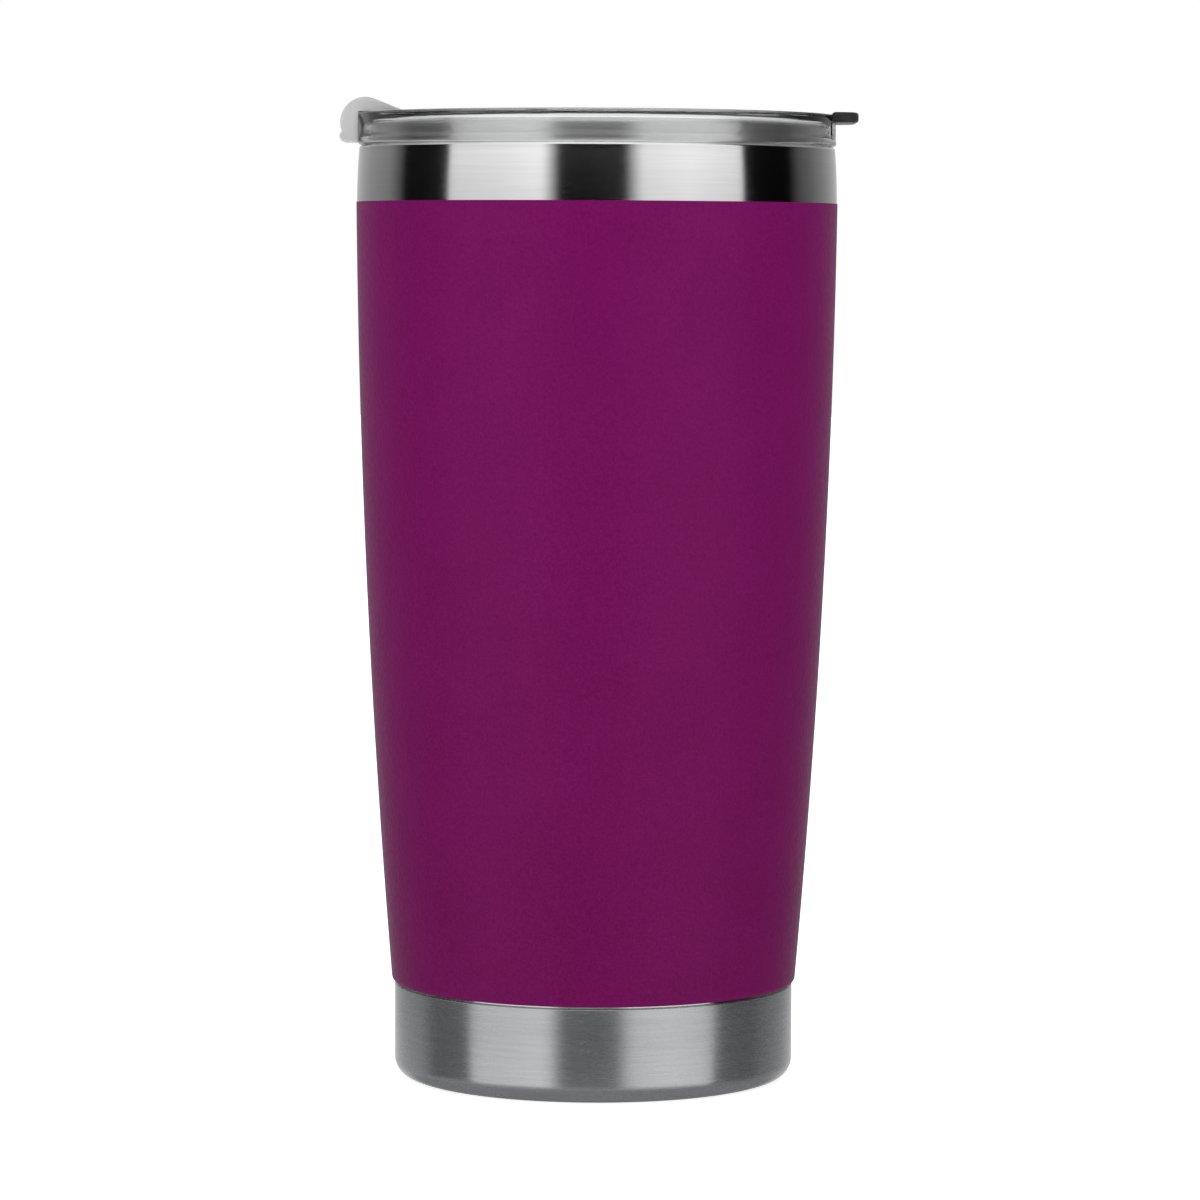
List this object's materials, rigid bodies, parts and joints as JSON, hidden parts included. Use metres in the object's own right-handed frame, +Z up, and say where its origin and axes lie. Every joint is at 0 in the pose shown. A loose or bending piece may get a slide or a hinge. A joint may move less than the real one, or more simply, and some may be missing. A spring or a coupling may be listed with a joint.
{
  "type": "insulated tumbler with lid",
  "caption": "Tapered double-walled steel tumbler with a coated side, bare rim and base bands, and a clear push-on lid whose skirt covers the rim, with a hinged drinking flap and a thumb tab.",
  "frame": {"origin": "centre of the foot, on the cup's axis", "axes": "+Z up along the cup's axis, -X towards the drinking flap, +X towards the thumb tab, +Y completes the right-handed frame"},
  "size_m": [0.0943, 0.088, 0.1795],
  "materials": {
    "outer_steel": "bright stainless steel, fine brushing round the rim",
    "purple_coat": "satin powder coat with a fine orange peel",
    "liner_steel": "electropolished stainless steel",
    "copper_foil": "bright copper foil",
    "base_steel": "brushed stainless steel, lines running round",
    "getter_alloy": "dull sintered alloy",
    "seal_glass": "dark solder glass",
    "adhesive": "white acrylic foam tape",
    "clear_lid": "clear moulded copolyester",
    "smoke_tab": "dark smoke moulded plastic",
    "clear_silicone": "milky silicone",
    "pin_steel": "drawn stainless pin",
    "frosted_flap": "frosted translucent polypropylene"
  },
  "bodies": {
    "cup": {"outer_wall": "outer_steel", "powder_coat": "purple_coat", "inner_liner": "liner_steel", "radiation_shield": "copper_foil", "shield_disc": "copper_foil", "base_cup": "base_steel", "getter_clip": "liner_steel", "getter_pellet": "getter_alloy", "seal_bead": "seal_glass", "base_cover": "base_steel", "cover_adhesive": "adhesive"},
    "lid": {"lid_body": "clear_lid", "thumb_tab": "smoke_tab", "lid_gasket": "clear_silicone", "hinge_pin": "pin_steel"},
    "flap": {"flap": "frosted_flap", "flap_stopper": "clear_silicone"}
  },
  "joints": [
    {"name": "lid_lift", "type": "slide", "parent": "cup", "child": "lid", "axis": [0, 0, 1], "range_m": [0, 0.022]},
    {"name": "flap_hinge", "type": "hinge", "parent": "lid", "child": "flap", "pos_m": [-0.011, 0, 0.17475], "axis": [0, 1, 0], "range_deg": [0, 165]}
  ]
}
